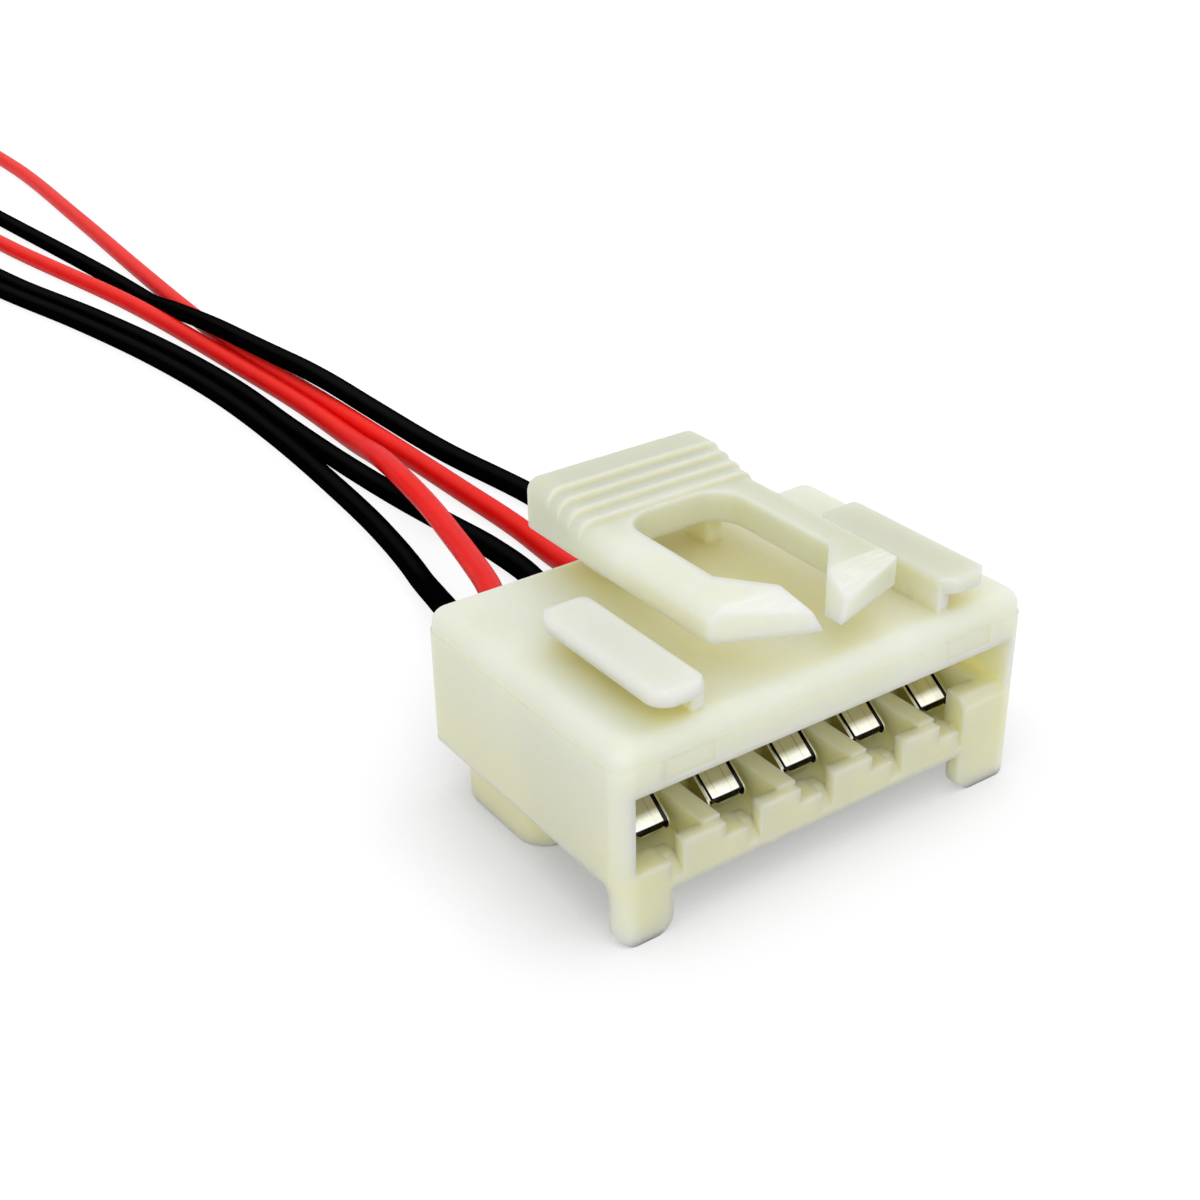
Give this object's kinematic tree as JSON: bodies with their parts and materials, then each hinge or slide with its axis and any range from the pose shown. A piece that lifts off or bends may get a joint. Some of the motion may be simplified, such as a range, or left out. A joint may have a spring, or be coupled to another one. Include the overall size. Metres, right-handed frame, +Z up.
{
  "type": "tail light connector",
  "caption": "Moulded nylon plug for a vehicle tail light, with a slotted latch lever over an open comb mouth, sprung strip contacts and a pigtail of crimped wires.",
  "frame": {"origin": "centre of the base of the housing with its latch, on the surface that it stands on, wires left out", "axes": "+X along the row of contacts, -Y out of the open mating face, +Y the way the wires leave, +Z up through the latch"},
  "size_m": [0.0332, 0.2251, 0.0202],
  "materials": {
    "nylon": "satin",
    "contact_metal": "polished",
    "copper": "satin",
    "insulation_black": "satin",
    "insulation_red": "satin"
  },
  "bodies": {
    "root": {"housing": "nylon", "contact_1": "contact_metal", "contact_2": "contact_metal", "contact_3": "contact_metal", "contact_4": "contact_metal", "contact_5": "contact_metal", "core_1": "copper", "core_2": "copper", "core_3": "copper", "core_4": "copper", "core_5": "copper", "wire_1": "insulation_black", "wire_2": "insulation_red", "wire_3": "insulation_black", "wire_4": "insulation_red", "wire_5": "insulation_black"}
  },
  "joints": []
}
